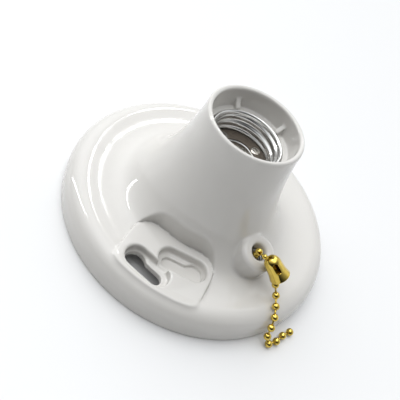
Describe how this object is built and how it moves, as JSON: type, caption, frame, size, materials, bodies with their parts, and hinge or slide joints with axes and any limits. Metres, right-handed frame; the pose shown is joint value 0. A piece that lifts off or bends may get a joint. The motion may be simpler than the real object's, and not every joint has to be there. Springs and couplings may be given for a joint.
{
  "type": "heat lamp fixture",
  "caption": "Surface-mounted moulded lampholder with a screw socket on a flared neck, a round base with keyhole screw pads and a bead-chain pull switch.",
  "frame": {"origin": "centre of the rim's bearing plane, under the lamp axis", "axes": "+Z along the lamp axis out of the socket; -Y towards the screw pad on the picture's near side; +X to the right of it"},
  "size_m": [0.115, 0.115, 0.057],
  "materials": {
    "moulding": "glossy white thermoset moulding",
    "aluminium": "rolled bright aluminium sheet",
    "fibre": "vulcanised fibre, matt grey-brown",
    "brass": "bright brass",
    "nickel": "dull nickel plate",
    "steel": "zinc-plated steel",
    "phenolic": "dark brown phenolic moulding",
    "sleeving": "black insulated lead"
  },
  "bodies": {
    "base": {"body_shell": "moulding", "screw_shell": "aluminium", "shell_floor": "fibre", "shell_rivet_1": "aluminium", "shell_rivet_2": "aluminium", "contact_rivet": "nickel", "contact_base": "nickel", "hot_plate": "brass", "hot_screw_1": "brass", "hot_screw_2": "brass", "neutral_plate": "nickel", "neutral_screw_1": "nickel", "neutral_screw_2": "nickel", "switch_frame": "steel", "frame_screw_1": "steel", "frame_screw_2": "steel", "contact_block": "phenolic", "block_rivet": "steel", "line_blade": "brass", "load_blade": "brass", "axle_pin": "steel", "axle_bush": "brass", "detent_leaf": "steel", "return_spring": "steel", "back_cover": "fibre", "cover_screw_1": "steel", "cover_screw_2": "steel", "load_lead": "sleeving", "line_lead": "sleeving"},
    "pull": {"spring_seat": "steel", "inner_chain": "brass", "bell_connector": "brass", "hanging_chain": "brass"},
    "lever": {"pull_lever": "steel", "drive_pawl": "steel"},
    "rotor": {"ratchet_rotor": "phenolic"},
    "contact": {"centre_contact": "nickel"}
  },
  "joints": [
    {"name": "chain_pull", "type": "slide", "parent": "base", "child": "pull", "axis": [0, 0, 1], "range_m": [0, 0.0061], "stiffness_N_per_m": 400, "springref_m": -0.003, "deforming": ["return_spring"]},
    {"name": "lever_swing", "type": "hinge", "parent": "base", "child": "lever", "pos_m": [0.02085, -0.01433, 0.0094], "axis": [-0.5664, -0.8241, 0], "range_deg": [0, 45]},
    {"name": "rotor_turn", "type": "hinge", "parent": "base", "child": "rotor", "pos_m": [0.02085, -0.01433, 0.0094], "axis": [-0.5664, -0.8241, 0], "range_deg": [0, 45]},
    {"name": "contact_flex", "type": "hinge", "parent": "base", "child": "contact", "pos_m": [0.00413, 0.00602, 0.0385], "axis": [0.8241, -0.5664, 0], "range_deg": [0, 8], "stiffness_Nm_per_rad": 0.02, "springref_deg": -2.86}
  ],
  "couplings": [
    {"joint": "lever_swing", "follows": "chain_pull", "rad_per_m": 128.27},
    {"joint": "rotor_turn", "follows": "chain_pull", "rad_per_m": 128.27}
  ]
}
